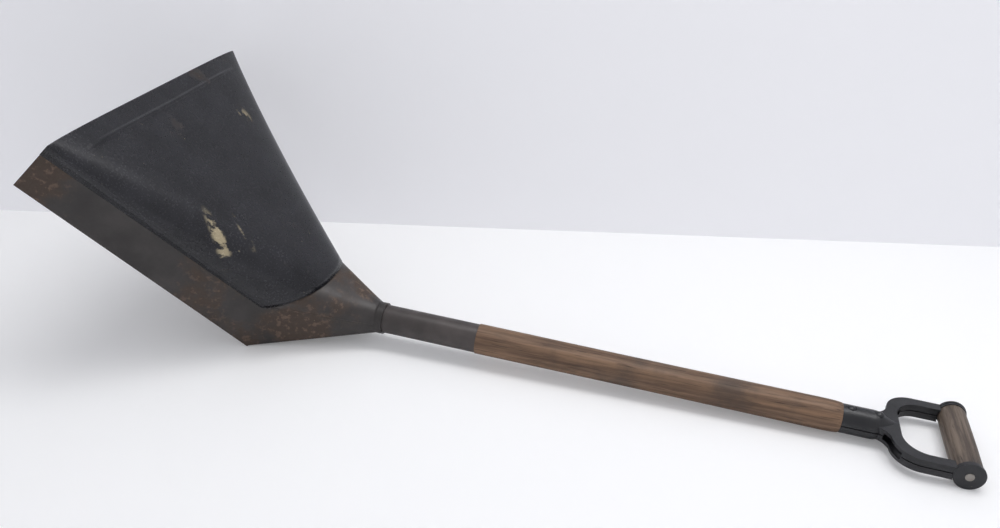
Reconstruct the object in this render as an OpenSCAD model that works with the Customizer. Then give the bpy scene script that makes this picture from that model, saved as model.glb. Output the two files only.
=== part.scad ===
// Grain shovel: a hooded sheet-steel scoop on a steel tube socket, with a turned wooden shaft
// and a riveted two-piece D-handle. Sizes are in millimetres. +X runs from the scoop to the
// grip and +Z is up. The shovel lies at rest on the heel of its scoop and on the two discs at
// the ends of its grip, and the origin is under the middle of its length, on the floor.

/* [Scoop] */
// Width of the floor plate at the heel
heel_w = 127; // [115:1:139]
// Width of the floor plate at the mouth
mouth_w = 374; // [340:1:400]
// Length of the floor plate from the heel to the mouth
plate_len = 282; // [250:1:310]
// Height of the side walls, square to the floor plate
wall_h = 57; // [50:1:64]
// Inward lean of each side wall, from its foot to its top
wall_lean = 15; // [10:1:20]
// Reach of the wall tops past the floor plate at the mouth
mouth_reach = 12; // [6:1:18]
// Distance of the wall tops ahead of the heel, where the walls are mitred to the neck
mitre_reach = 30; // [26:1:36]
// Thickness of the sheet steel
sheet_t = 1.2; // [1:0.1:1.5]

/* [Hood] */
// Rise of the hood over the wall tops at the middle of the mouth
crown_rise = 6.5; // [4:0.5:10]
// Rise of the hood over the wall tops at the neck, square to the floor plate
arch_rise = 58; // [50:1:66]
// Distance of the arch's top behind its feet, along the floor plate
arch_back = 15; // [10:1:20]
// Depth of the flange that laps each side wall at the mouth
flange_mouth = 12; // [8:1:16]
// Depth of the flange that laps each side wall at the heel
flange_heel = 4; // [3:0.5:6]
// Distance of the stiffening bead from the lip
bead_back = 22; // [18:1:30]
// Width of the stiffening bead
bead_w = 8; // [5:0.5:10]
// Height of the stiffening bead
bead_h = 2; // [1:0.1:2.5]
// Length of the stiffening bead across the hood
bead_run = 290; // [240:5:300]
// Depth of the folded hem where the hood meets the neck
hem_w = 8; // [5:1:12]

/* [Neck] */
// Run of the neck from the heel to the end of the collar, along the floor
neck_run = 148; // [138:1:158]
// Length of the collar that grips the tube
collar_len = 8; // [6:1:12]
// Thickness of the rolled collar
collar_t = 1.8; // [1.5:0.1:2]
// Bend radius of the neck's two lower folds
fold_r = 3; // [2.5:0.5:5]

/* [Shaft] */
// Distance from the grip's axis to the end of the collar, along the shaft
collar_reach = 645; // [600:5:700]
// Outer diameter of the tube
tube_d = 33.4; // [31:0.1:36]
// Wall of the tube
tube_t = 2; // [1.6:0.1:2.6]
// Length of tube that shows between the collar and the wood
tube_show = 113; // [100:1:130]
// Length of tube inside the neck
tube_inside = 50; // [40:1:55]
// Diameter of the wooden shaft
shaft_d = 35; // [34:0.1:38]
// Length over which the wood is rounded down to the ferrule
shaft_round = 20; // [12:1:30]
// Length of the tenon inside the tube
tenon_len = 135; // [128:1:145]
// Diameter of the nail through the collar, the tube and the tenon
nail_d = 4; // [3:0.1:5]
// Length of the nail under its head
nail_len = 14; // [10:1:18]

/* [Handle] */
// Distance from the grip's axis to the ferrule's open end
yoke_len = 124; // [118:1:132]
// Length of the ferrule's round part
ferrule_len = 34; // [28:1:38]
// Outer diameter of the ferrule
ferrule_d = 32; // [31:0.5:33]
// Thickness of the two pressed halves
press_t = 2; // [1.5:0.1:2.5]
// Depth of both halves over the arms
arm_h = 16; // [14:1:18]
// Gap between the two halves at their split line
split_gap = 1.2; // [0.8:0.1:2]
// Distance from the grip's axis to the inner edge of the crotch
crotch_reach = 63.5; // [60:0.5:68]
// Width of the hand opening between the arms
hand_w = 87; // [80:1:92]
// Thickness of each arm, seen from above
arm_w = 11.5; // [10:0.5:13]
// Height of the lens-shaped gap between the halves at each shoulder
shoulder_gap = 9; // [6:0.5:11]
// Diameter of the two rivets through the ferrule
rivet_d = 6; // [5:0.5:7]
// Diameter of a rivet's head
rivet_head_d = 10; // [9:0.5:11]
// Height of a rivet's head
rivet_head_h = 2.4; // [1.5:0.1:3]
// Distance of the outer rivet from the ferrule's open end
rivet_in = 9; // [7:1:12]
// Distance between the two rivets
rivet_pitch = 29; // [24:1:31]

/* [Grip] */
// Diameter of the wooden grip at its middle
grip_d = 30.4; // [29:0.1:31.4]
// Taper of the grip's diameter from its middle to each end
grip_taper = 1; // [0:0.1:2]
// Thickness of each arm's eye
eye_t = 3; // [2:0.5:4]
// Diameter of each end disc
disc_d = 32; // [30:0.5:34]
// Thickness of each end disc
disc_t = 2.5; // [2:0.5:4]
// Diameter of the grip's rod
rod_d = 6.4; // [5:0.1:8]
// Diameter of the rod's riveted ends
rod_head_d = 9; // [7:0.5:12]
// Height of the rod's riveted ends
rod_head_h = 0.8; // [0.5:0.1:1.5]

/* [Stance] */
// Slope of the floor plate, up from the heel to the mouth, in degrees
floor_slope = 54; // [50:1:58]
// Slope of the shaft, down from the collar to the grip, in degrees
shaft_slope = 1.5; // [0.5:0.1:3]

/* [Fits] */
// Radial play of the grip on its rod
rod_play = 0.06; // [0.02:0.01:0.1]
// Play of the grip between the eyes, at each end
end_play = 0.3; // [0.2:0.05:0.5]
// Clearance of the arms and discs round the grip and the eyes
swing_gap = 1; // [0.5:0.1:2]

/* [Hidden] */
$fn = 64;

// Smallest overlap used to cut or join cleanly
eps = 0.01;
// Radii and half widths that follow from the sizes above
heel_half = heel_w / 2;
mouth_half = mouth_w / 2;
tube_r = tube_d / 2;
bore_r = tube_r - tube_t;
shaft_r = shaft_d / 2;
ferrule_r = ferrule_d / 2;
rod_r = rod_d / 2;
disc_r = disc_d / 2;
grip_r = grip_d / 2;

// Angles of a side wall: its flare along the plate and its lean over the plate
flare = atan((mouth_half - heel_half) / plate_len);
lean_tan = wall_lean / wall_h;
lean = atan(lean_tan * cos(flare));
// Thickness of a side wall, measured across the shovel
side_t = sheet_t / (cos(flare) * cos(lean));

// Grip's axis, collar end and heel, before the origin is moved under the middle
grip_z = disc_r;
collar_x = -collar_reach * cos(shaft_slope);
heel_x = collar_x - neck_run;
mouth_x = heel_x - plate_len * cos(floor_slope);
origin_x = (mouth_x + disc_r) / 2;

// Half width of the scoop at the wall tops, at the mitre and at the mouth
mitre_half = heel_half + mitre_reach * tan(flare) - wall_lean;
lip_half = heel_half + (plate_len + mouth_reach) * tan(flare) - wall_lean;

// Squareness of the mouth's crown and of the arch: 2 is an ellipse, more is squarer
crown_power = 4.7;
crown_corner = 1.5;
arch_power = 2.4;
// Number of columns across the hood and of rows along it
hood_cols = 48;
hood_rows = 7;
bead_rows = 8;
neck_rows = 6;
// Share of the bead's length over which each end fades out
bead_fade = 0.12;
// Bunching of the hood's columns towards its middle
bunch = 2.1;

// Length of the arch's rise, along its own slope
arch_len = norm([arch_back, arch_rise]);

// A place given along the floor plate (u), across it (v) and square to it (w)
function on_plate(u, v, w) = [heel_x - u * cos(floor_slope) + w * sin(floor_slope), v,
                              u * sin(floor_slope) + w * cos(floor_slope)];
// A place in the collar's end plane: distance back along the shaft, across and up
function on_collar(back, y, up) =
    [-(collar_reach + back) * cos(shaft_slope) + up * sin(shaft_slope), y,
     grip_z + (collar_reach + back) * sin(shaft_slope) + up * cos(shaft_slope)];
// Signed power, for rounded-square outlines
function spow(x, p) = sign(x) * pow(abs(x), p);
function mix3(a, b, t) = a + (b - a) * t;
// Angle of a column round an arch, from 0 to 180, with the columns bunched in the middle
function column_angle(k, n) = let (s = 2 * k / n - 1) 90 + 90 * spow(s, bunch);

// The arch where hood and neck meet; g counts sheet thicknesses outside the neck cap's skin
function arch_point(a, g) =
    let (y = -(mitre_half + g * side_t) * spow(cos(a), 2 / arch_power),
         rise = (arch_len + g * sheet_t) * spow(sin(a), 2 / arch_power) / arch_len)
    on_plate(mitre_reach - arch_back * rise, y, wall_h + arch_rise * rise);
// The lip at the mouth
function lip_point(a, g) =
    let (y = -(lip_half + g * side_t) * spow(cos(a), 2 / crown_power),
         rise = (crown_rise + g * sheet_t) * spow(sin(a), 2 / crown_corner))
    on_plate(plate_len + mouth_reach * (1 + rise / wall_h), y, wall_h + rise);

// Faces of a closed sheet made of two matching grids of points, outer then inner
function grid_faces(rows, cols, start, flip) =
    [for (r = [0 : rows - 2], c = [0 : cols - 2])
        let (a = start + r * cols + c, b = a + 1, d = a + cols, e = d + 1)
        each flip ? [[a, d, b], [b, d, e]] : [[a, b, d], [b, e, d]]];
function strip_faces(edge_a, edge_b) =
    [for (k = [0 : len(edge_a) - 2])
        each [[edge_a[k], edge_b[k], edge_a[k + 1]], [edge_a[k + 1], edge_b[k], edge_b[k + 1]]]];
module sheet(outer, inner) {
    rows = len(outer);
    cols = len(outer[0]);
    count = rows * cols;
    first = [for (c = [0 : cols - 1]) c];
    last = [for (c = [0 : cols - 1]) (rows - 1) * cols + c];
    left = [for (r = [0 : rows - 1]) r * cols];
    right = [for (r = [0 : rows - 1]) r * cols + cols - 1];
    inside = [for (row = inner) each row];
    polyhedron(
        points = concat([for (row = outer) each row], inside),
        faces = concat(
            grid_faces(rows, cols, 0, false),
            grid_faces(rows, cols, count, true),
            strip_faces(first, [for (i = first) i + count]),
            strip_faces([for (i = last) i + count], last),
            strip_faces([for (i = left) i + count], left),
            strip_faces(right, [for (i = right) i + count])));
}

// Puts children that are drawn along the plate, with their thickness square to it, in place
module plate_frame() {
    translate([heel_x, 0, 0]) rotate([0, -floor_slope, 180]) children();
}
// The scoop seen from the side: floor, mouth edge, wall tops and mitre
module scoop_profile() {
    plate_frame() rotate([90, 0, 0]) linear_extrude(2 * mouth_w, center = true)
        polygon([[0, 0], [plate_len, 0], [plate_len + mouth_reach, wall_h],
                 [mitre_reach, wall_h]]);
}
// A side wall's slab, longer and higher than the wall that is cut from it
module wall_slab() {
    over = 2 * wall_h;
    plate_frame() translate([0, heel_half, 0]) rotate([0, 0, flare]) rotate([90 + lean, 0, 0])
        translate([-over, -over, 0]) cube([plate_len / cos(flare) + 2 * over, 3 * over, sheet_t]);
}
module scoop_pan() {
    inset = side_t / 2;
    color("#3b332f") intersection() {
        scoop_profile();
        union() {
            plate_frame() linear_extrude(sheet_t)
                polygon([[0, inset - heel_half], [plate_len, inset - mouth_half],
                         [plate_len, mouth_half - inset], [0, heel_half - inset]]);
            wall_slab();
            mirror([0, 1, 0]) wall_slab();
        }
    }
}

// Height of the bead at a distance from the lip and a place across the hood
function bead_lift(back, y) =
    let (s = (back - bead_back) / (bead_w / 2), e = (bead_run / 2 - abs(y)) / (bead_fade * bead_run))
    abs(s) >= 1 || e <= 0 ? 0 : bead_h * (1 + cos(180 * s)) / 2 * min(1, e);
// Distances of the hood's rows from the lip; the arch row is set apart
hood_backs = concat(
    [for (k = [0 : hood_rows - 1])
        bead_back + bead_w + (hood_rows - 1 - k) / hood_rows * (plate_len - bead_back - bead_w
        - 2 * hem_w)],
    [for (k = [0 : bead_rows]) bead_back + bead_w / 2 - k * bead_w / bead_rows],
    [bead_back / 3, 0]);
// A point of the hood's skin on the line from the arch to the lip
function hood_point(a, g, back) =
    let (s = arch_point(a, g), m = lip_point(a, g), span = norm(m - s),
         p = mix3(m, s, min(1, back / span)), lift = bead_lift(back, p[1]))
    p + lift * [sin(floor_slope), 0, cos(floor_slope)];
// The flange that laps a side wall, from the mitre to the mouth
function flange_point(side, g, back) =
    let (depth = flange_mouth + (flange_heel - flange_mouth) * min(1, back / plate_len),
         w = wall_h - depth, u_lip = plate_len + mouth_reach * w / wall_h,
         u = max(mitre_reach * w / wall_h, u_lip - back * cos(flare)))
    on_plate(u, side * (heel_half + u * tan(flare) - w * lean_tan + g * side_t), w);
function hood_row(g, back) = concat(
    [flange_point(-1, g, back)],
    [for (k = [0 : hood_cols]) hood_point(column_angle(k, hood_cols), g, back)],
    [flange_point(1, g, back)]);
// The first rows at the arch: its edge, and the hem's end
function hem_row(g, back_from_arch) = concat(
    [flange_point(-1, max(g, 0), plate_len - back_from_arch)],
    [for (k = [0 : hood_cols])
        let (a = column_angle(k, hood_cols), h = sin(a) > eps ? g : max(g, 0),
             s = arch_point(a, h), m = lip_point(a, h))
        mix3(s, m, back_from_arch / norm(m - s))],
    [flange_point(1, max(g, 0), plate_len - back_from_arch)]);
module hood() {
    outer = concat([hem_row(1, 0), hem_row(1, hem_w), hem_row(1, hem_w + sheet_t)],
                   [for (b = hood_backs) hood_row(1, b)]);
    inner = concat([hem_row(-1, 0), hem_row(-1, hem_w), hem_row(0, hem_w + sheet_t)],
                   [for (b = hood_backs) hood_row(0, b)]);
    color("#2b2726") sheet(outer, inner);
}

// Outline of the neck pan in the mitre plane, from the near wall top round to the far one.
// Each entry is a place across and a distance up the mitre; g counts thicknesses outwards.
mitre_len = norm([mitre_reach, wall_h]);
side_steps = 5;
fold_steps = 8;
floor_steps = 12;
function half_pan(g) = concat(
    [for (k = [0 : side_steps - 1])
        let (m = mitre_len + (fold_r - mitre_len) * k / side_steps)
        [-(heel_half + (mitre_half - heel_half) * m / mitre_len + g * side_t), m]],
    [for (k = [0 : fold_steps])
        let (a = 90 * k / fold_steps, r = fold_r + g * side_t)
        [-(heel_half - fold_r) - r * cos(a), fold_r - r * sin(a)]],
    [for (k = [1 : floor_steps / 2])
        [-(heel_half - fold_r) * (1 - 2 * k / floor_steps), -g * side_t]]);
function full_pan(g) =
    let (h = half_pan(g), n = len(h))
    concat(h, [for (k = [n - 2 : -1 : 0]) [-h[k][0], h[k][1]]]);
function pan_point(p) =
    on_plate(mitre_reach * p[1] / mitre_len, p[0], wall_h * p[1] / mitre_len);
// Angles round the collar that the pan's columns run to: side, fold and floor
side_sweep = 12;
fold_sweep = 62;
half_sweep = concat(
    [for (k = [0 : side_steps - 1]) side_sweep * k / side_steps],
    [for (k = [0 : fold_steps]) side_sweep + fold_sweep * k / fold_steps],
    [for (k = [1 : floor_steps / 2])
        side_sweep + fold_sweep + (90 - side_sweep - fold_sweep) * 2 * k / floor_steps]);
function full_sweep() =
    let (n = len(half_sweep))
    concat(half_sweep, [for (k = [n - 2 : -1 : 0]) 180 - half_sweep[k]]);
// Radius of the collar's skins where the cones meet it; the inner one clears the tube's round
skin_out = tube_r + collar_t;
// The cones end on the collar's face, a little short of both its skins
cone_inset = 0.15;
function cone_end(g) = g == 0 ? skin_out - cone_inset : tube_r + cone_inset;
function pan_row(g, t) =
    let (r = cone_end(g), mouth = full_pan(g), sweep = full_sweep())
    [for (k = [0 : len(mouth) - 1])
        mix3(pan_point(mouth[k]),
             on_collar(collar_len, -r * cos(sweep[k]), -r * sin(sweep[k])), t)];
function cap_row(g, t) =
    let (r = cone_end(g))
    [for (k = [0 : hood_cols])
        let (a = column_angle(k, hood_cols), b = 180 * k / hood_cols)
        mix3(arch_point(a, g), on_collar(collar_len, -r * cos(b), r * sin(b)), t)];

// Everything on the shaft is drawn with the grip's axis at the origin and the shaft along -X
module shaft_frame() {
    translate([0, 0, grip_z]) rotate([0, shaft_slope, 0]) children();
}
// A cylinder along the shaft, from one distance from the grip's axis to a greater one
module shaft_rod(near, far, r) {
    translate([-far, 0, 0]) rotate([0, 90, 0]) cylinder(h = far - near, r = r);
}
// The nail's hole, drawn through whatever it is taken from
module nail_hole() {
    shaft_frame() translate([-(collar_reach + collar_len / 2), 0, -skin_out - 1])
        cylinder(h = nail_len + 1, d = nail_d);
}
module neck_pan() {
    color("#3a322e")
        sheet([for (k = [neck_rows : -1 : 0]) pan_row(0, k / neck_rows)],
              [for (k = [neck_rows : -1 : 0]) pan_row(-1, k / neck_rows)]);
}
module neck_cap() {
    color("#3d3531")
        sheet([for (k = [0 : neck_rows]) cap_row(0, k / neck_rows)],
              [for (k = [0 : neck_rows]) cap_row(-1, k / neck_rows)]);
}
module collar() {
    far = collar_reach + collar_len;
    color("#3d3531") difference() {
        shaft_frame() difference() {
            shaft_rod(collar_reach, far, skin_out);
            shaft_rod(collar_reach - 1, far + 1, tube_r);
        }
        nail_hole();
    }
}

module socket_tube() {
    start = collar_reach - tube_show;
    end = collar_reach + tube_inside;
    color("#4a413c") difference() {
        shaft_frame() difference() {
            shaft_rod(start, end, tube_r);
            shaft_rod(start - 1, end + 1, bore_r);
        }
        nail_hole();
    }
}
module socket_nail() {
    color("#2f2c2a") shaft_frame()
        translate([-(collar_reach + collar_len / 2), 0, -skin_out]) {
            cylinder(h = nail_len, d = nail_d);
            mirror([0, 0, 1]) cylinder(h = 1, d = 2 * nail_d);
        }
}

// The nose that closes the ferrule: its radius falls from the ferrule to the arms
nose_start = yoke_len - ferrule_len;
nose_end = crotch_reach + press_t;
nose_steps = 8;
function nose_radius(s, skin) =
    let (low = arm_h / 2 - skin, high = ferrule_r - skin)
    low + (high - low) * (1 + cos(180 * s)) / 2;
// The ferrule and its nose as one turned solid; skin is taken off its outside
module turned_nose(skin) {
    tip = nose_end + skin;
    rotate([0, -90, 0]) rotate_extrude()
        polygon(concat(
            [[0, yoke_len], [ferrule_r - skin, yoke_len]],
            [for (k = [0 : nose_steps])
                [nose_radius(k / nose_steps, skin),
                 nose_start + (tip - nose_start) * k / nose_steps]],
            [[0, tip]]));
}
// Rounded end of the wood, from the shaft's radius down to the ferrule's
round_steps = 6;
module shaft() {
    wood_end = collar_reach - tube_show;
    color("#7a4f2b") difference() {
        shaft_frame() union() {
            rotate([0, -90, 0]) rotate_extrude()
                polygon(concat(
                    [[0, yoke_len]],
                    [for (k = [0 : round_steps])
                        let (a = 90 * k / round_steps)
                        [ferrule_r + (shaft_r - ferrule_r) * sin(a),
                         yoke_len + shaft_round * (1 - cos(a))]],
                    [[shaft_r, wood_end], [0, wood_end]]));
            shaft_rod(wood_end - eps, wood_end + tenon_len, bore_r);
            turned_nose(press_t);
        }
        nail_hole();
        rivet_shanks(2 * ferrule_r);
    }
}

// Places of the two ferrule rivets, as distances from the grip's axis
rivet_reach = [yoke_len - rivet_in, yoke_len - rivet_in - rivet_pitch];
// Height of the flat seat that each rivet's head sits on
rivet_seat = ferrule_r - press_t / 2;
module rivet_shanks(h) {
    for (x = rivet_reach)
        shaft_frame() translate([-x, 0, 0]) cylinder(h = h, d = rivet_d, center = true);
}
// A rivet's domed head, on a seat at height 0
module rivet_head() {
    ball_r = (pow(rivet_head_d / 2, 2) + pow(rivet_head_h, 2)) / (2 * rivet_head_h);
    intersection() {
        translate([0, 0, rivet_head_h - ball_r]) sphere(r = ball_r);
        cylinder(h = rivet_head_h, d = rivet_head_d);
    }
}
module yoke_rivets() {
    color("#2a2a2c") for (x = rivet_reach)
        shaft_frame() translate([-x, 0, 0]) {
            cylinder(h = 2 * rivet_seat, d = rivet_d, center = true);
            for (side = [0, 1])
                mirror([0, 0, side]) translate([0, 0, rivet_seat]) rivet_head();
        }
}

// The yoke seen from above; skin is taken off all round
hand_half = hand_w / 2;
yoke_half = hand_half + arm_w;
inner_corner = 26;
outer_corner = 29.5;
throat_r = 22;
throat_x = 95;
throat_y = 34;
module yoke_plan(skin) {
    corner_x = inner_corner - crotch_reach;
    corner_y = hand_half - inner_corner;
    shoulder_y = yoke_half - outer_corner;
    difference() {
        union() {
            for (side = [-1, 1]) {
                translate([corner_x - outer_corner / 4, side * shoulder_y])
                    circle(r = outer_corner - skin);
                translate([corner_x - outer_corner / 4, side * (yoke_half + hand_half) / 2
                           - arm_w / 2 + skin])
                    square([outer_corner / 4 - corner_x, arm_w - 2 * skin]);
            }
            difference() {
                translate([-throat_x, -throat_y])
                    square([throat_x - crotch_reach + inner_corner / 2, 2 * throat_y]);
                for (side = [-1, 1])
                    translate([-throat_x, side * throat_y]) circle(r = throat_r + skin);
            }
        }
        for (side = [-1, 1])
            translate([corner_x, side * corner_y]) circle(r = inner_corner + skin);
        translate([-crotch_reach - skin, -corner_y])
            square([crotch_reach + skin, 2 * corner_y]);
        translate([corner_x, -hand_half - skin]) square([-corner_x + 1, hand_w + 2 * skin]);
    }
}
eye_in = yoke_half - disc_t - eye_t;
// One half of the yoke, the upper one, before the holes for rivets and rod
module yoke_half_body() {
    floor_z = split_gap / 2;
    difference() {
        union() {
            translate([0, 0, floor_z]) linear_extrude(arm_h / 2 - floor_z) yoke_plan(0);
            intersection() {
                turned_nose(0);
                translate([-yoke_len - 1, -2 * ferrule_r, floor_z])
                    cube([yoke_len, 4 * ferrule_r, 2 * ferrule_r]);
            }
        }
        turned_nose(press_t);
        translate([0, 0, -eps]) linear_extrude(arm_h / 2 - press_t) arm_channel();
        for (side = [-1, 1]) shoulder_lens(side);
    }
}
// The hollow under each arm: the yoke's plan less its skin, kept clear of the eyes
module arm_channel() {
    intersection() {
        yoke_plan(press_t);
        translate([-throat_x, -yoke_half]) square([throat_x - 2 * disc_r, 2 * yoke_half]);
    }
}
// The lens-shaped gap at a shoulder, cut from the outside
lens_len = 62;
lens_yaw = 50;
module shoulder_lens(side) {
    lens_r = (pow(lens_len / 2, 2) + pow(shoulder_gap / 2, 2)) / shoulder_gap;
    translate([-throat_x / 2 - outer_corner, side * (throat_y + press_t), 0])
        rotate([90, 0, -side * lens_yaw])
            translate([0, 0, -outer_corner / 2]) intersection() {
                translate([0, shoulder_gap / 2 - lens_r, 0]) cylinder(h = outer_corner, r = lens_r);
                translate([0, lens_r - shoulder_gap / 2, 0]) cylinder(h = outer_corner, r = lens_r);
            }
}
// A cylinder along Y, from one place across to another
module cross_rod(y0, y1, r) {
    translate([0, y0, 0]) rotate([-90, 0, 0]) cylinder(h = y1 - y0, r = r);
}
module yoke_piece() {
    difference() {
        union() {
            difference() {
                yoke_half_body();
                cross_rod(-eye_in, eye_in, grip_r + swing_gap);
                for (side = [0, 1])
                    mirror([0, side, 0])
                        cross_rod(eye_in + eye_t, yoke_half + 1, disc_r + end_play);
            }
            for (side = [0, 1])
                mirror([0, side, 0]) intersection() {
                    cross_rod(eye_in, eye_in + eye_t, disc_r - swing_gap / 2);
                    translate([-disc_r, 0, split_gap / 2]) cube([2 * disc_r, yoke_half, disc_r]);
                }
        }
        cross_rod(-yoke_half, yoke_half, rod_r);
        for (x = rivet_reach) translate([-x, 0, 0]) {
            cylinder(h = ferrule_r, d = rivet_d);
            translate([0, 0, rivet_seat]) cylinder(h = ferrule_r, d = rivet_head_d);
        }
    }
}
module yoke_top() {
    color("#26262a") shaft_frame() yoke_piece();
}
module yoke_bottom() {
    color("#26262a") shaft_frame() mirror([0, 0, 1]) yoke_piece();
}

grip_half = eye_in - end_play;
grip_steps = 6;
module grip() {
    color("#6d5a49") shaft_frame() rotate([90, 0, 0]) difference() {
        rotate_extrude()
            polygon(concat(
                [[0, -grip_half]],
                [for (k = [-grip_steps : grip_steps])
                    [grip_r - grip_taper / 2 * pow(k / grip_steps, 2), grip_half * k / grip_steps]],
                [[0, grip_half]]));
        cylinder(h = 2 * grip_half + 1, r = rod_r + rod_play, center = true);
    }
}
module grip_rod() {
    color("#55524e") shaft_frame() {
        cross_rod(-yoke_half, yoke_half, rod_r);
        for (side = [0, 1])
            mirror([0, side, 0])
                cross_rod(yoke_half - eps, yoke_half + rod_head_h, rod_head_d / 2);
    }
}
module grip_disc() {
    difference() {
        cross_rod(yoke_half - disc_t, yoke_half, disc_r);
        cross_rod(yoke_half - disc_t - 1, yoke_half + 1, rod_r);
    }
}
module grip_disc_near() {
    color("#242427") shaft_frame() mirror([0, 1, 0]) grip_disc();
}
module grip_disc_far() {
    color("#242427") shaft_frame() grip_disc();
}

translate([-origin_x, 0, 0]) {
    scoop_pan();
    hood();
    neck_pan();
    neck_cap();
    collar();
    socket_tube();
    socket_nail();
    shaft();
    yoke_top();
    yoke_bottom();
    yoke_rivets();
    grip();
    grip_rod();
    grip_disc_near();
    grip_disc_far();
}
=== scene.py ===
"""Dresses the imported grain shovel: hooded steel scoop, tube, wooden shaft and D-handle."""

import logging
from dataclasses import dataclass, field
from enum import Enum
from math import cos, radians, sin

import bpy
import numpy as np
from mathutils import Matrix


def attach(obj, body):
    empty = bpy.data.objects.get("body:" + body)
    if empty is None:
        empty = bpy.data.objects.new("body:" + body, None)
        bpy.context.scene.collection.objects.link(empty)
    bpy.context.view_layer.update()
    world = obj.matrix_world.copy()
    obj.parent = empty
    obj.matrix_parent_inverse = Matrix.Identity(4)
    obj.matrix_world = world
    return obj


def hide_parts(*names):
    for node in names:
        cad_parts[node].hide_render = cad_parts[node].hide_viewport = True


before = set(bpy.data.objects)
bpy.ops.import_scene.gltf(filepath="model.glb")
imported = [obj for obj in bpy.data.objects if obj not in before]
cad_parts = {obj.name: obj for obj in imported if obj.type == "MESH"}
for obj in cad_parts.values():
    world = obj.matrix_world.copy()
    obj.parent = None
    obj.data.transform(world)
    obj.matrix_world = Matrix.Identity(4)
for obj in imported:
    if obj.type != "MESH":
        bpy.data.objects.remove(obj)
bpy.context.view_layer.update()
LOG = logging.getLogger("shovel")

MM = 0.001
IMAGE_W, IMAGE_H = 1000, 528
# Edges of a turned piece that are sharper than this stay sharp
SHARP_EDGE = radians(35)
# Colour of the pale scratches and flecks, and of the broad smears
SCRATCH_COLOUR = (0.42, 0.36, 0.25)
SMEAR_COLOUR = (0.5, 0.42, 0.27)


class Body(Enum):
    """The two bodies that pieces ride on."""
    FRAME = "frame"
    GRIP = "grip"


class Grain(Enum):
    """The way that a wooden piece's grain runs."""
    ALONG_SHAFT = "x"
    ALONG_GRIP = "y"


def signed_power(values: np.ndarray, power: float) -> np.ndarray:
    """Raises the size of each value to a power and keeps its sign."""
    return np.sign(values) * np.abs(values) ** power


def edge_strip(top: np.ndarray, low: np.ndarray) -> np.ndarray:
    """Joins two matching edges, given as rows of point numbers, with quads."""
    return np.stack([top[1:], top[:-1], low[:-1], low[1:]], -1)


def closed_sheet(name: str, outer: np.ndarray, inner: np.ndarray) -> bpy.types.Object:
    """Makes a closed sheet from two matching grids of points and the strips round their edges.

    Args:
        name: The new object's name.
        outer: Points of the outer skin, rows by columns by 3, in metres.
        inner: Points of the inner skin, of the same shape.

    Returns:
        The mesh object, smooth on its skins, with its faces pointing outwards.
    """
    rows, cols = outer.shape[:2]
    ids = np.arange(rows * cols).reshape(rows, cols)
    below = ids + rows * cols
    a, b, c, d = ids[:-1, :-1], ids[:-1, 1:], ids[1:, 1:], ids[1:, :-1]
    skin = np.stack([a, b, c, d], -1).reshape(-1, 4)
    under = skin[:, ::-1] + rows * cols
    sides = [edge_strip(ids[0], below[0]), edge_strip(ids[-1, ::-1], below[-1, ::-1]),
             edge_strip(ids[::-1, 0], below[::-1, 0]), edge_strip(ids[:, -1], below[:, -1])]
    faces = np.concatenate([skin, under, *sides])
    mesh = bpy.data.meshes.new(name)
    mesh.from_pydata(np.concatenate([outer.reshape(-1, 3), inner.reshape(-1, 3)]).tolist(), [],
                     faces.tolist())
    flags = np.zeros(len(faces), bool)
    flags[:2 * len(skin)] = True
    mesh.polygons.foreach_set("use_smooth", flags)
    mesh.validate()
    if signed_volume(mesh) < 0:
        mesh.flip_normals()
    piece = bpy.data.objects.new(name, mesh)
    bpy.context.scene.collection.objects.link(piece)
    return piece


def signed_volume(mesh: bpy.types.Mesh) -> float:
    """Sums the signed volumes under a mesh's triangles, which is positive if they point outwards."""
    mesh.calc_loop_triangles()
    corners = np.empty(len(mesh.vertices) * 3)
    mesh.vertices.foreach_get("co", corners)
    corners = corners.reshape(-1, 3)
    picks = np.empty(len(mesh.loop_triangles) * 3, int)
    mesh.loop_triangles.foreach_get("vertices", picks)
    p, q, r = corners[picks.reshape(-1, 3)].transpose(1, 0, 2)
    return float(np.einsum("ij,ij->i", p, np.cross(q, r)).sum() / 6)


def turned_piece(name: str, along: np.ndarray, radius: np.ndarray, place: Matrix,
                 sides: int = 96) -> bpy.types.Object:
    """Turns a closed profile about its own X axis: each ring is a circle of the profile's radius.

    Args:
        name: The new object's name.
        along: Distance of each profile point along the axis, in metres.
        radius: Radius of each profile point, which is 0 at both ends of a solid profile.
        place: Matrix from the piece's own axes to the shovel's.
        sides: Number of steps round the axis.

    Returns:
        The mesh object, placed by its mesh.
    """
    turn = np.linspace(0, 2 * np.pi, sides, endpoint=False)
    grid = np.stack([np.broadcast_to(along[:, None], (len(along), sides)),
                     radius[:, None] * np.cos(turn), radius[:, None] * np.sin(turn)], -1)
    ids = np.arange(len(along) * sides).reshape(len(along), sides)
    right = np.roll(ids, -1, 1)
    faces = np.stack([ids[:-1], right[:-1], right[1:], ids[1:]], -1).reshape(-1, 4)
    mesh = bpy.data.meshes.new(name)
    mesh.from_pydata(grid.reshape(-1, 3).tolist(), [],
                     faces.tolist() + [ids[0, ::-1].tolist(), ids[-1].tolist()])
    mesh.polygons.foreach_set("use_smooth", np.ones(len(faces) + 2, bool))
    mesh.transform(place)
    if signed_volume(mesh) < 0:
        mesh.flip_normals()
    mesh.set_sharp_from_angle(angle=SHARP_EDGE)
    piece = bpy.data.objects.new(name, mesh)
    bpy.context.scene.collection.objects.link(piece)
    return piece


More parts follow.
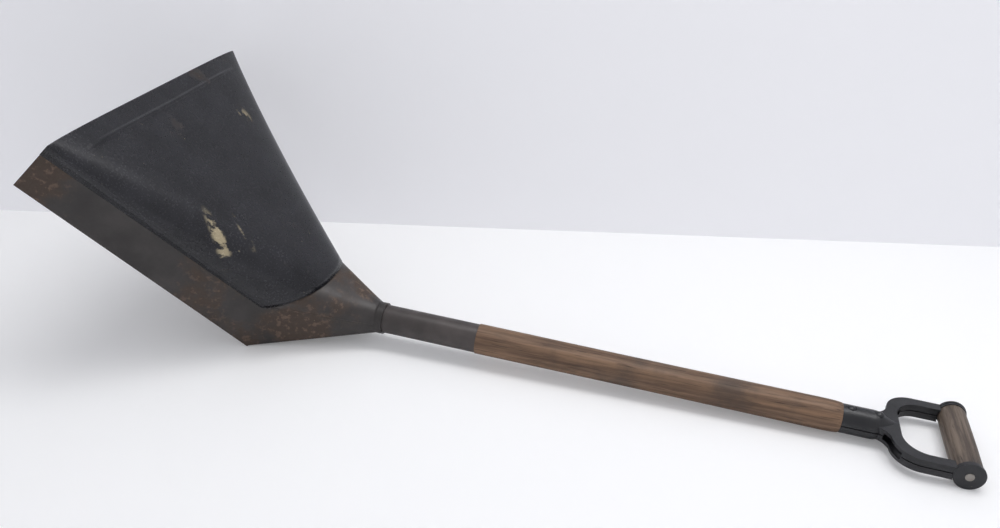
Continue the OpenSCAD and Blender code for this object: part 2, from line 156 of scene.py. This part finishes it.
@dataclass
class NodeDesk:
    """Lays out a material's nodes, with patterns on Object coordinates in metres."""
    name: str
    material: bpy.types.Material = field(init=False)

    def __post_init__(self) -> None:
        """Makes the material with its shader and coordinates."""
        self.material = bpy.data.materials.new(self.name)
        self.material.use_nodes = True
        self.tree = self.material.node_tree
        self.shader = self.tree.nodes["Principled BSDF"]
        self.coords = self.tree.nodes.new("ShaderNodeTexCoord").outputs["Object"]

    def link(self, source: bpy.types.NodeSocket, target: bpy.types.NodeSocket) -> None:
        """Joins an output to an input."""
        self.tree.links.new(source, target)

    def noise(self, scale: float, detail: float = 4.0, stretch: tuple[float, float, float] = (1, 1, 1),
              turn: tuple[float, float, float] = (0, 0, 0), rough: float = 0.6) -> bpy.types.NodeSocket:
        """Adds a noise pattern.

        Args:
            scale: Waves per metre.
            detail: Number of finer layers.
            stretch: Scale along each axis, so that a small value draws the pattern out.
            turn: Turn of the pattern about each axis, in degrees.
            rough: Strength of the finer layers.

        Returns:
            The pattern's value, around 0.5.
        """
        place = self.tree.nodes.new("ShaderNodeMapping")
        place.inputs["Scale"].default_value = stretch
        place.inputs["Rotation"].default_value = [radians(a) for a in turn]
        self.link(self.coords, place.inputs["Vector"])
        noise = self.tree.nodes.new("ShaderNodeTexNoise")
        noise.inputs["Scale"].default_value = scale
        noise.inputs["Detail"].default_value = detail
        noise.inputs["Roughness"].default_value = rough
        self.link(place.outputs["Vector"], noise.inputs["Vector"])
        return noise.outputs["Fac"]

    def band(self, value: bpy.types.NodeSocket, low: float, high: float,
             to_low: float = 0.0, to_high: float = 1.0) -> bpy.types.NodeSocket:
        """Maps a value from one range to another and clamps it."""
        node = self.tree.nodes.new("ShaderNodeMapRange")
        node.interpolation_type = "SMOOTHSTEP"
        self.link(value, node.inputs["Value"])
        node.inputs["From Min"].default_value = low
        node.inputs["From Max"].default_value = high
        node.inputs["To Min"].default_value = to_low
        node.inputs["To Max"].default_value = to_high
        return node.outputs["Result"]

    def math(self, kind: str, a: bpy.types.NodeSocket, b: bpy.types.NodeSocket | float
             ) -> bpy.types.NodeSocket:
        """Works out one sum, product or comparison of two values."""
        node = self.tree.nodes.new("ShaderNodeMath")
        node.operation = kind
        self.link(a, node.inputs[0])
        if isinstance(b, float):
            node.inputs[1].default_value = b
        else:
            self.link(b, node.inputs[1])
        return node.outputs[0]

    def tint(self, factor: bpy.types.NodeSocket, under: bpy.types.NodeSocket | tuple,
             over: bpy.types.NodeSocket | tuple) -> bpy.types.NodeSocket:
        """Mixes two colours by a factor."""
        node = self.tree.nodes.new("ShaderNodeMix")
        node.data_type = "RGBA"
        self.link(factor, node.inputs["Factor"])
        for socket, colour in ((node.inputs[6], under), (node.inputs[7], over)):
            if isinstance(colour, tuple):
                socket.default_value = (*colour, 1.0)
            else:
                self.link(colour, socket)
        return node.outputs[2]

    def patch(self, centre: np.ndarray, half: tuple[float, float, float],
              turn: float = 0.0) -> bpy.types.NodeSocket:
        """Makes a soft-edged oval mask, 1 in its middle and 0 past its edge.

        Args:
            centre: Middle of the oval, in metres.
            half: Half sizes of the oval along its own axes, in metres.
            turn: Turn of the oval about Z, in degrees.

        Returns:
            The mask.
        """
        move = self.tree.nodes.new("ShaderNodeVectorMath")
        move.operation = "SUBTRACT"
        move.inputs[1].default_value = tuple(float(c) for c in centre)
        self.link(self.coords, move.inputs[0])
        place = self.tree.nodes.new("ShaderNodeMapping")
        place.inputs["Rotation"].default_value = (0, 0, radians(-turn))
        self.link(move.outputs[0], place.inputs["Vector"])
        shrink = self.tree.nodes.new("ShaderNodeVectorMath")
        shrink.operation = "DIVIDE"
        shrink.inputs[1].default_value = half
        self.link(place.outputs["Vector"], shrink.inputs[0])
        size = self.tree.nodes.new("ShaderNodeVectorMath")
        size.operation = "LENGTH"
        self.link(shrink.outputs[0], size.inputs[0])
        return self.band(size.outputs["Value"], 1.0, 0.4)

    def bump(self, height: bpy.types.NodeSocket, depth: float) -> None:
        """Gives the shader a bump from a height pattern, with its depth in metres."""
        node = self.tree.nodes.new("ShaderNodeBump")
        node.inputs["Distance"].default_value = depth
        self.link(height, node.inputs["Height"])
        self.link(node.outputs["Normal"], self.shader.inputs["Normal"])


@dataclass(frozen=True)
class WornSteel:
    """Dark painted sheet steel with rust, dust and pale scratches."""
    name: str
    paint: tuple[float, float, float]
    rust: tuple[float, float, float]
    rust_share: float
    gloss: float
    scratches: float = 0.5
    smears: tuple = ()
    dent_depth: float = 0.10 * MM

    def material(self) -> bpy.types.Material:
        """Builds the finish.

        Returns:
            A material whose colour, roughness and bump follow the same wear patterns.
        """
        desk = NodeDesk(self.name)
        cloud = desk.noise(9.0, 8.0)
        grit = desk.noise(420.0, 4.0)
        rust = desk.band(cloud, 0.72 - self.rust_share, 0.86 - self.rust_share)
        speck = desk.math("MULTIPLY", desk.band(desk.noise(140.0, 3.0), 0.52, 0.68), rust)
        colour = desk.tint(desk.band(desk.noise(26.0, 6.0), 0.3, 0.75), self.paint,
                           tuple(c * 1.7 + 0.004 for c in self.paint))
        colour = desk.tint(desk.band(rust, 0.0, 1.0, 0.0, 0.75), colour, self.rust)
        colour = desk.tint(speck, colour, tuple(c * 1.8 for c in self.rust))
        fine = desk.band(desk.noise(95.0, 3.0, (1.0, 0.05, 1.0), (0, 0, 32)), 0.70, 0.78)
        rare = desk.band(desk.noise(12.0, 3.0), 0.52, 0.66, 0.0, self.scratches)
        colour = desk.tint(desk.math("MULTIPLY", fine, rare), colour, SCRATCH_COLOUR)
        fleck = desk.band(desk.noise(230.0, 2.0), 0.73, 0.78, 0.0, self.scratches)
        colour = desk.tint(desk.math("MULTIPLY", fleck, desk.band(cloud, 0.45, 0.6)), colour,
                           SCRATCH_COLOUR)
        for centre, half, turn, share in self.smears:
            broken = desk.band(desk.noise(70.0, 5.0, (0.35, 1.0, 1.0), (0, 0, -turn)), 0.5, 0.58,
                               0.0, share)
            colour = desk.tint(desk.math("MULTIPLY", desk.patch(centre, half, turn), broken),
                               colour, SMEAR_COLOUR)
        desk.link(colour, desk.shader.inputs["Base Color"])
        rough = desk.band(rust, 0.0, 1.0, self.gloss, 0.72)
        rough = desk.math("ADD", rough, desk.band(grit, 0.3, 0.7, -0.05, 0.08))
        desk.link(rough, desk.shader.inputs["Roughness"])
        desk.shader.inputs["Metallic"].default_value = 0.15
        desk.bump(desk.math("ADD", grit, desk.math("MULTIPLY", desk.noise(38.0, 3.0), 2.5)), self.dent_depth)
        return desk.material


@dataclass(frozen=True)
class WeatheredWood:
    """Turned wood with long dark grain streaks and handling dirt."""
    name: str
    grain: Grain
    light: tuple[float, float, float]
    dark: tuple[float, float, float]
    grime: tuple[float, float, float]
    roughness: float = 0.55

    def material(self) -> bpy.types.Material:
        """Builds the finish.

        Returns:
            A material whose grain is noise that is drawn out along the wood.
        """
        desk = NodeDesk(self.name)
        drawn = (0.035, 1.0, 1.0) if self.grain is Grain.ALONG_SHAFT else (1.0, 0.05, 1.0)
        streak = desk.noise(170.0, 6.0, drawn, rough=0.7)
        broad = desk.noise(42.0, 3.0, drawn)
        pores = desk.band(desk.noise(620.0, 2.0, drawn), 0.60, 0.72)
        colour = desk.tint(desk.band(streak, 0.36, 0.64), self.dark, self.light)
        colour = desk.tint(desk.band(broad, 0.5, 0.66, 0.0, 0.7), colour, self.dark)
        colour = desk.tint(desk.band(pores, 0.0, 1.0, 0.0, 0.75), colour,
                           tuple(c * 0.4 for c in self.dark))
        colour = desk.tint(desk.band(desk.noise(14.0, 6.0), 0.48, 0.72, 0.0, 0.65), colour, self.grime)
        desk.link(colour, desk.shader.inputs["Base Color"])
        desk.link(desk.band(streak, 0.3, 0.7, self.roughness + 0.12, self.roughness - 0.08),
                  desk.shader.inputs["Roughness"])
        desk.bump(desk.math("SUBTRACT", streak, pores), 0.0004)
        return desk.material


@dataclass
class Stance:
    """How the shovel lies: its slopes, its heel and the frames of its plate and its shaft."""
    slope: float = radians(54)
    tilt: float = radians(1.5)
    collar_reach: float = 645 * MM
    neck_run: float = 148 * MM
    plate_len: float = 282 * MM
    disc_r: float = 16 * MM

    def __post_init__(self) -> None:
        """Works out the origin and the heel as the construction does."""
        heel = -self.collar_reach * cos(self.tilt) - self.neck_run
        self.shift = -(heel - self.plate_len * cos(self.slope) + self.disc_r) / 2
        self.heel_x = heel + self.shift

    def on_plate(self, u: np.ndarray, v: np.ndarray, w: np.ndarray) -> np.ndarray:
        """Places points given along the floor plate, across it and square to it."""
        u, v, w = np.broadcast_arrays(u, v, w)
        return np.stack([self.heel_x - u * cos(self.slope) + w * sin(self.slope), v,
                         u * sin(self.slope) + w * cos(self.slope)], -1)

    def on_collar(self, back: float, y: np.ndarray, up: np.ndarray) -> np.ndarray:
        """Places points in a plane square to the shaft, at a distance behind the collar's end."""
        reach = self.collar_reach + back
        return np.stack([self.shift - reach * cos(self.tilt) + up * sin(self.tilt), y,
                         self.disc_r + reach * sin(self.tilt) + up * cos(self.tilt)], -1)

    def shaft_matrix(self) -> Matrix:
        """Gives the frame of the shaft: its origin on the grip's axis, -X towards the scoop."""
        return Matrix.Translation((self.shift, 0, self.disc_r)) @ Matrix.Rotation(self.tilt, 4, "Y")


@dataclass
class Scoop:
    """The scoop and its neck: hood and cap as smooth sheets, and the construction's neck pan, flat pan and
    collar behind them.
    """
    stance: Stance
    heel_half: float = 63.5 * MM
    mouth_half: float = 187 * MM
    wall_h: float = 57 * MM
    wall_lean: float = 15 * MM
    mouth_reach: float = 12 * MM
    mitre_reach: float = 30 * MM
    sheet_t: float = 1.2 * MM
    crown_rise: float = 6.5 * MM
    arch_rise: float = 58 * MM
    arch_back: float = 15 * MM
    flange_mouth: float = 12 * MM
    flange_heel: float = 4 * MM
    bead_back: float = 22 * MM
    bead_w: float = 8 * MM
    bead_h: float = 2 * MM
    bead_run: float = 290 * MM
    hem_w: float = 8 * MM
    crown_power: float = 4.7
    crown_corner: float = 1.5
    arch_power: float = 2.4
    # Share of the bead's length over which each end fades out
    bead_fade: float = 0.12
    # Radii of the cap's two skins at the collar, and the collar's length
    cone_outer_r: float = 18.35 * MM
    cone_inner_r: float = 16.85 * MM
    collar_len: float = 8 * MM
    # Steps across the sheets, their bunching towards the middle, and rows along them
    columns: int = 240
    bunch: float = 2.1
    hood_rows: int = 24
    bead_rows: int = 15
    cap_rows: int = 24
    lip_backs: tuple[float, ...] = (12 * MM, 5 * MM, 1 * MM, 0)
    # The hem's inner fold starts where the arch's angle has more than this sine
    hem_foot: float = 0.01

    def __post_init__(self) -> None:
        """Works out the walls' angles and the half widths at the mitre and the mouth."""
        st = self.stance
        self.flare_tan = (self.mouth_half - self.heel_half) / st.plate_len
        self.flare_cos = 1 / np.hypot(1, self.flare_tan)
        self.lean_tan = self.wall_lean / self.wall_h
        self.side_t = self.sheet_t * np.hypot(1, self.lean_tan * self.flare_cos) / self.flare_cos
        self.mitre_half = self.heel_half + self.mitre_reach * self.flare_tan - self.wall_lean
        self.lip_half = (self.heel_half + (st.plate_len + self.mouth_reach) * self.flare_tan
                         - self.wall_lean)
        self.arch_len = float(np.hypot(self.arch_back, self.arch_rise))
        share = np.linspace(-1, 1, self.columns + 1)
        self.angle = np.radians(90 + 90 * signed_power(share, self.bunch))

    def arch(self, g: np.ndarray | float) -> np.ndarray:
        """Gives the arch's rounded-square outline, g sheet thicknesses outside the cap's skin."""
        y = -(self.mitre_half + g * self.side_t) * signed_power(np.cos(self.angle), 2 / self.arch_power)
        rise = ((self.arch_len + g * self.sheet_t) * np.sin(self.angle).clip(0) ** (2 / self.arch_power)
                / self.arch_len)
        return self.stance.on_plate(self.mitre_reach - self.arch_back * rise, y,
                                    self.wall_h + self.arch_rise * rise)

    def lip(self, g: float) -> np.ndarray:
        """Gives the lip's flat-topped outline at the mouth."""
        y = -(self.lip_half + g * self.side_t) * signed_power(np.cos(self.angle), 2 / self.crown_power)
        rise = ((self.crown_rise + g * self.sheet_t)
                * np.sin(self.angle).clip(0) ** (2 / self.crown_corner))
        return self.stance.on_plate(self.stance.plate_len + self.mouth_reach * (1 + rise / self.wall_h),
                                    y, self.wall_h + rise)

    def flange(self, side: int, g: float, back: float) -> np.ndarray:
        """Gives the lower edge of the flange that laps a wall, at a distance from the lip."""
        st = self.stance
        depth = self.flange_mouth + (self.flange_heel - self.flange_mouth) * min(1.0, back / st.plate_len)
        w = self.wall_h - depth
        u = max(self.mitre_reach * w / self.wall_h,
                st.plate_len + self.mouth_reach * w / self.wall_h - back * self.flare_cos)
        half = self.heel_half + u * self.flare_tan - w * self.lean_tan + g * self.side_t
        return st.on_plate(np.array(u), np.array(side * half), np.array(w))

    def hood_row(self, g: float, back: float) -> np.ndarray:
        """Gives one row of the hood: the line from arch to lip is straight, and the bead lifts it."""
        arch, lip = self.arch(g), self.lip(g)
        span = np.linalg.norm(lip - arch, axis=-1, keepdims=True)
        row = lip + (arch - lip) * np.minimum(1, back / span)
        wave = (back - self.bead_back) / (self.bead_w / 2)
        if abs(wave) < 1:
            fade = ((self.bead_run / 2 - np.abs(row[:, 1])) / (self.bead_fade * self.bead_run)).clip(0, 1)
            lift = self.bead_h * (1 + np.cos(np.pi * wave)) / 2 * fade
            row = row + lift[:, None] * np.array([sin(self.stance.slope), 0, cos(self.stance.slope)])
        return np.concatenate([[self.flange(-1, g, back)], row, [self.flange(1, g, back)]])

    def hem_row(self, g: float, ahead: float) -> np.ndarray:
        """Gives one row of the hem, at a distance from the arch; its inner fold starts off the walls."""
        inside = np.where(np.sin(self.angle)[:, None] > self.hem_foot, g, max(g, 0.0))
        arch = self.arch(inside[:, 0])
        lip = self.lip(max(g, 0.0))
        span = np.linalg.norm(lip - arch, axis=-1, keepdims=True)
        row = arch + (lip - arch) * ahead / span
        back = self.stance.plate_len - ahead
        return np.concatenate([[self.flange(-1, max(g, 0.0), back)], row,
                               [self.flange(1, max(g, 0.0), back)]])

    def hood(self) -> bpy.types.Object:
        """Builds the hood with its flanges, hem, bead and lip."""
        far = self.stance.plate_len - 2 * self.hem_w
        near = self.bead_back + self.bead_w / 2
        backs = np.concatenate([np.linspace(far, near + self.bead_w / 2, self.hood_rows),
                                near - np.linspace(0, self.bead_w, self.bead_rows), self.lip_backs])
        hem_end = self.hem_w + self.sheet_t
        outer = [self.hem_row(1, 0), self.hem_row(1, self.hem_w), self.hem_row(1, hem_end)]
        inner = [self.hem_row(-1, 0), self.hem_row(-1, self.hem_w), self.hem_row(0, hem_end)]
        outer += [self.hood_row(1, float(b)) for b in backs]
        inner += [self.hood_row(0, float(b)) for b in backs]
        return closed_sheet("hood_sheet", np.array(outer), np.array(inner))

    def cap(self) -> bpy.types.Object:
        """Builds the neck's upper cone, ruled from the arch to the collar's upper half."""
        turn = np.linspace(0, np.pi, self.columns + 1)
        skins = []
        share = np.linspace(0, 1, self.cap_rows)[:, None, None]
        for g, r in ((0, self.cone_outer_r), (-1, self.cone_inner_r)):
            ring = self.stance.on_collar(self.collar_len, -r * np.cos(turn), r * np.sin(turn))
            skins.append(self.arch(g) + (ring - self.arch(g)) * share)
        return closed_sheet("neck_cap_cone", *skins)

    def dress(self, hood: bpy.types.Material, pan: bpy.types.Material) -> None:
        """Builds the pieces, gives each its finish and reports it."""
        for piece, node, material, slot in ((self.hood(), "hood", hood, "hood_steel"),
                                            (self.cap(), "neck_cap", pan, "pan_steel")):
            finish_piece(piece, material, Body.FRAME, slot, node)
        for node in ("scoop_pan", "neck_pan", "collar"):
            dress_node(node, pan)


def finish_piece(piece: bpy.types.Object, material: bpy.types.Material, body: Body, slot: str,
                 *nodes: str) -> None:
    """Gives a piece its material and its body, and hides the nodes that it stands for."""
    piece.data.materials.clear()
    piece.data.materials.append(material)
    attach(piece, body.value)
    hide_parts(*nodes)
    LOG.info("%s stands for %s", piece.name, ", ".join(nodes))


def dress_node(node: str, material: bpy.types.Material) -> None:
    """Gives a node of the construction its finish."""
    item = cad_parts[node]
    if not item.material_slots:
        item.data.materials.append(material)
    for place in item.material_slots:
        place.material = material
    LOG.info("%s keeps its own shape", node)


@dataclass
class Shaft:
    """The pipe socket and the turned wooden shaft."""
    stance: Stance
    tube_r: float = 16.7 * MM
    tube_t: float = 2 * MM
    tube_near: float = 532 * MM
    tube_far: float = 695 * MM
    wood_r: float = 17.5 * MM
    ferrule_r: float = 16 * MM
    yoke_len: float = 124 * MM
    rounding: float = 20 * MM
    # Radii and lengths of the wood inside the ferrule and inside the pipe
    ferrule_tenon_r: float = 13.8 * MM
    ferrule_tenon: float = 10 * MM
    pipe_tenon_r: float = 14.6 * MM
    pipe_tenon: float = 100 * MM
    # Straight run past the rounded end, the wood's hollow at mid length and the pipe's rounded edge
    straight_run: float = 6 * MM
    hollow: float = 0.3 * MM
    pipe_edge: float = 0.4 * MM
    end_steps: int = 14
    long_steps: int = 40

    def wood(self) -> bpy.types.Object:
        """Turns the wood that shows, with its end rounded down to the ferrule as a quarter ellipse."""
        a = np.linspace(0, np.pi / 2, self.end_steps)
        along = -self.yoke_len - self.rounding * (1 - np.cos(a))
        radius = self.ferrule_r + (self.wood_r - self.ferrule_r) * np.sin(a)
        start = -self.yoke_len - self.rounding - self.straight_run
        middle = np.linspace(start, -self.tube_near, self.long_steps)[:-1]
        dip = self.hollow * np.sin(np.pi * np.linspace(0, 1, len(middle)))
        tenon_end = -self.tube_near - self.pipe_tenon
        along = np.concatenate([[along[0] + self.ferrule_tenon, along[0]], along, middle,
                                [-self.tube_near, -self.tube_near, tenon_end]])
        radius = np.concatenate([[self.ferrule_tenon_r, self.ferrule_tenon_r], radius,
                                 self.wood_r - dip,
                                 [self.wood_r, self.pipe_tenon_r, self.pipe_tenon_r]])
        return turned_piece("turned_shaft", along, radius, self.stance.shaft_matrix())

    def tube(self) -> bpy.types.Object:
        """Turns the pipe that shows between the collar and the wood, with its inner wall."""
        inside = self.tube_r - self.tube_t
        along = -np.array([self.tube_near, self.tube_near + self.pipe_edge, self.tube_far, self.tube_far,
                           self.tube_near])
        radius = np.array([self.tube_r - self.pipe_edge, self.tube_r, self.tube_r, inside, inside])
        return turned_piece("pipe_socket", along, radius, self.stance.shaft_matrix())

    def dress(self, wood: bpy.types.Material, steel: bpy.types.Material) -> None:
        """Builds the shaft and the pipe and gives them their finishes."""
        finish_piece(self.wood(), wood, Body.FRAME, "shaft_wood", "shaft")
        finish_piece(self.tube(), steel, Body.FRAME, "tube_steel", "socket_tube")


@dataclass
class Handle:
    """The D-handle: pressed halves, rivets, discs and rod from the frame, and the turned grip."""
    stance: Stance
    grip_half: float = 49.2 * MM
    grip_r: float = 15.2 * MM
    taper: float = 0.5 * MM
    bore_r: float = 3.3 * MM
    grip_steps: int = 48

    def grip(self) -> bpy.types.Object:
        """Turns the wooden grip: its radius falls with the square of the distance from the middle."""
        s = np.linspace(-1, 1, self.grip_steps)
        along = np.concatenate([[-self.grip_half], self.grip_half * s, [self.grip_half]])
        radius = np.concatenate([[self.bore_r], self.grip_r - self.taper * s ** 2, [self.bore_r]])
        place = self.stance.shaft_matrix() @ Matrix.Rotation(radians(90), 4, "Z")
        return turned_piece("turned_grip", along, radius, place)

    def dress(self, wood: bpy.types.Material, iron: bpy.types.Material,
              rod: bpy.types.Material) -> None:
        """Builds the grip and gives the handle's pieces their finishes."""
        finish_piece(self.grip(), wood, Body.GRIP, "grip_wood", "grip")
        for node in ("yoke_top", "yoke_bottom", "yoke_rivets", "grip_disc_near", "grip_disc_far"):
            dress_node(node, iron)
        # The rod and the nail take the pale rod finish, whose grey is partly worn bare metal and partly a
        # painted highlight
        for node in ("grip_rod", "socket_nail"):
            dress_node(node, rod)


@dataclass
class Studio:
    """The camera, the pale floor and backdrop, and the soft light."""
    eye: tuple[float, float, float] = (142.7 * MM, -868.6 * MM, 617.0 * MM)
    right: tuple[float, float, float] = (0.96798, 0.24205, 0.06649)
    up: tuple[float, float, float] = (-0.17303, 0.45152, 0.87532)
    focal_px: float = 916.8
    # Where the floor meets the backdrop, at the photograph's left and right edges
    fold_left: tuple[float, float] = (0, 210)
    fold_right: tuple[float, float] = (1000, 247)
    # How far the stage reaches, in metres: to each side, in front, behind and up
    reach_side: float = 4.0
    reach_front: float = 6.0
    reach_back: float = 4.0
    reach_up: float = 4.0
    floor_colour: tuple[float, float, float] = (0.88, 0.88, 0.885)
    floor_glow: float = 0.16
    backdrop_colour: tuple[float, float, float] = (0.84, 0.84, 0.87)
    backdrop_glow: float = 0.22
    sky_colour: tuple[float, float, float] = (0.95, 0.96, 1.0)
    sky_level: float = 0.62
    sky_seen: float = 0.87
    lamp_size: tuple[float, float] = (1.6, 1.1)
    lamp_power: float = 26.0
    lamp_place: tuple[float, float, float] = (0.25, 0.45, 1.7)
    lamp_tip: float = radians(-14)

    def ray(self, x: float, y: float) -> np.ndarray:
        """Gives the direction in which the camera sees a place in the photograph's frame."""
        right, up = np.array(self.right), np.array(self.up)
        forward = np.cross(up, right)
        return (forward + right * (x - IMAGE_W / 2) / self.focal_px
                - up * (y - IMAGE_H / 2) / self.focal_px)

    def on_plane(self, x: float, y: float, point: np.ndarray, normal: np.ndarray) -> np.ndarray:
        """Gives where the sight line through a place in the frame meets a plane."""
        eye, ray = np.array(self.eye), self.ray(x, y)
        return eye + ray * ((point - eye) @ normal) / (ray @ normal)

    def camera(self) -> None:
        """Places the camera that the photograph's sight lines give."""
        right, up = np.array(self.right), np.array(self.up)
        back = np.cross(right, up)
        data = bpy.data.cameras.new("camera")
        data.sensor_width = 36.0
        data.lens = self.focal_px * data.sensor_width / IMAGE_W
        item = bpy.data.objects.new("camera", data)
        rows = [[*axis, place] for axis, place in zip(np.stack([right, up, back], 1).tolist(), self.eye)]
        item.matrix_world = Matrix(rows + [[0, 0, 0, 1]])
        bpy.context.scene.collection.objects.link(item)
        bpy.context.scene.camera = item

    def surface(self, name: str, corners: list[list[float]], colour: tuple[float, float, float],
                glow: float) -> None:
        """Makes a flat stage surface that is a little brighter to the camera and clear from behind."""
        mesh = bpy.data.meshes.new(name)
        mesh.from_pydata(corners, [], [(0, 1, 2, 3)])
        item = bpy.data.objects.new(name, mesh)
        bpy.context.scene.collection.objects.link(item)
        material = bpy.data.materials.new(name)
        material.use_nodes = True
        tree = material.node_tree
        shader = tree.nodes["Principled BSDF"]
        shader.inputs["Base Color"].default_value = (*colour, 1)
        shader.inputs["Roughness"].default_value = 0.6
        shader.inputs["Specular IOR Level"].default_value = 0.2
        shader.inputs["Emission Color"].default_value = (*colour, 1)
        sight = tree.nodes.new("ShaderNodeLightPath")
        gain = tree.nodes.new("ShaderNodeMath")
        gain.operation = "MULTIPLY"
        gain.inputs[1].default_value = glow
        tree.links.new(sight.outputs["Is Camera Ray"], gain.inputs[0])
        tree.links.new(gain.outputs[0], shader.inputs["Emission Strength"])
        clear = tree.nodes.new("ShaderNodeBsdfTransparent")
        side = tree.nodes.new("ShaderNodeNewGeometry")
        choice = tree.nodes.new("ShaderNodeMixShader")
        tree.links.new(side.outputs["Backfacing"], choice.inputs["Fac"])
        tree.links.new(shader.outputs["BSDF"], choice.inputs[1])
        tree.links.new(clear.outputs["BSDF"], choice.inputs[2])
        tree.links.new(choice.outputs["Shader"], tree.nodes["Material Output"].inputs["Surface"])
        mesh.materials.append(material)

    def stage(self) -> None:
        """Lays the floor and stands the backdrop on the line where the photograph shows it."""
        ground, up = np.zeros(3), np.array([0, 0, 1.0])
        left = self.on_plane(*self.fold_left, ground, up)
        right = self.on_plane(*self.fold_right, ground, up)
        along = (right - left) / np.linalg.norm(right - left)
        ahead = np.array([along[1], -along[0], 0])
        left = left - self.reach_side * along
        right = right + self.reach_side * along
        front, behind = self.reach_front * ahead, -self.reach_back * ahead
        rise = self.reach_up * up
        self.surface("floor", [list(left + front), list(right + front), list(right + behind),
                               list(left + behind)], self.floor_colour, self.floor_glow)
        self.surface("backdrop", [list(left), list(right), list(right + rise), list(left + rise)],
                     self.backdrop_colour, self.backdrop_glow)

    def light(self) -> None:
        """Sets a soft overhead lamp and an even pale sky, which the camera sees paler."""
        world = bpy.data.worlds.new("sky")
        world.use_nodes = True
        tree = world.node_tree
        sky = tree.nodes["Background"]
        sky.inputs["Color"].default_value = (*self.sky_colour, 1)
        sight = tree.nodes.new("ShaderNodeLightPath")
        level = tree.nodes.new("ShaderNodeMapRange")
        level.inputs["To Min"].default_value = self.sky_level
        level.inputs["To Max"].default_value = self.sky_seen
        tree.links.new(sight.outputs["Is Camera Ray"], level.inputs["Value"])
        tree.links.new(level.outputs["Result"], sky.inputs["Strength"])
        bpy.context.scene.world = world
        lamp = bpy.data.lights.new("overhead", "AREA")
        lamp.shape = "RECTANGLE"
        lamp.size, lamp.size_y = self.lamp_size
        lamp.energy = self.lamp_power
        item = bpy.data.objects.new("overhead", lamp)
        tip = Matrix.Rotation(self.lamp_tip, 4, "X")
        item.matrix_world = Matrix.Translation(self.lamp_place) @ tip
        bpy.context.scene.collection.objects.link(item)


@dataclass(frozen=True)
class Smear:
    """A pale smear on the hood: its place in the photograph's frame, and its size and strength."""
    x: float
    y: float
    height: float
    half: tuple[float, float, float]
    turn: float
    share: float

    def placed(self, studio: Studio, stance: Stance) -> tuple:
        """Finds where the sight line meets the plane at the smear's height over the floor plate.

        Returns:
            The smear's middle, half sizes, turn and strength.
        """
        normal = np.array([sin(stance.slope), 0, cos(stance.slope)])
        level = stance.on_plate(np.array(0), np.array(0), np.array(self.height))
        return studio.on_plane(self.x, self.y, level, normal), self.half, self.turn, self.share


SMEARS = (Smear(224, 241, 90 * MM, (62 * MM, 9 * MM, 40 * MM), -20, 0.85),
          Smear(244, 235, 92 * MM, (22 * MM, 5 * MM, 40 * MM), -20, 0.6),
          Smear(243, 127, 66 * MM, (14 * MM, 14 * MM, 40 * MM), 0, 0.6))


@dataclass(frozen=True)
class Finishes:
    """The shovel's finishes, with the hood's set apart because its smears have places."""
    pan: WornSteel = WornSteel("pan_paint", (0.030, 0.026, 0.025), (0.085, 0.058, 0.043), 0.27, 0.38)
    tube: WornSteel = WornSteel("pipe_paint", (0.050, 0.042, 0.040), (0.10, 0.068, 0.050), 0.22,
                                0.40, 0.3)
    iron: WornSteel = WornSteel("yoke_paint", (0.015, 0.015, 0.017), (0.050, 0.037, 0.030), 0.14,
                                0.33, 0.3)
    # The rod's pale grey is partly worn bare metal and partly a painted highlight on its ends
    rod: WornSteel = WornSteel("rod_wear_and_highlight", (0.22, 0.20, 0.18), (0.13, 0.09, 0.065), 0.20, 0.40, 0.2)
    timber: WeatheredWood = WeatheredWood("shaft_timber", Grain.ALONG_SHAFT, (0.24, 0.140, 0.080),
                                          (0.110, 0.062, 0.037), (0.055, 0.040, 0.032))
    grip: WeatheredWood = WeatheredWood("grip_timber", Grain.ALONG_GRIP, (0.19, 0.145, 0.11),
                                        (0.075, 0.055, 0.043), (0.035, 0.030, 0.028))

    def hood(self, studio: Studio, stance: Stance) -> WornSteel:
        """Gives the hood's finish, with its smears placed."""
        smears = tuple(smear.placed(studio, stance) for smear in SMEARS)
        return WornSteel("hood_paint", (0.010, 0.010, 0.013), (0.055, 0.040, 0.033), 0.13, 0.22, 0.8,
                         smears, 0.03 * MM)


def main() -> None:
    """Builds the studio and the sub-assemblies in order, and reports each piece."""
    logging.basicConfig(level=logging.INFO, format="%(name)s: %(message)s")
    bpy.context.scene.view_settings.view_transform = "Standard"
    studio = Studio()
    studio.camera()
    studio.stage()
    studio.light()
    stance = Stance()
    finishes = Finishes()
    hood = finishes.hood(studio, stance).material()
    iron = finishes.iron.material()
    Scoop(stance).dress(hood, finishes.pan.material())
    Shaft(stance).dress(finishes.timber.material(), finishes.tube.material())
    Handle(stance).dress(finishes.grip.material(), iron, finishes.rod.material())


if __name__ == "__main__":
    main()
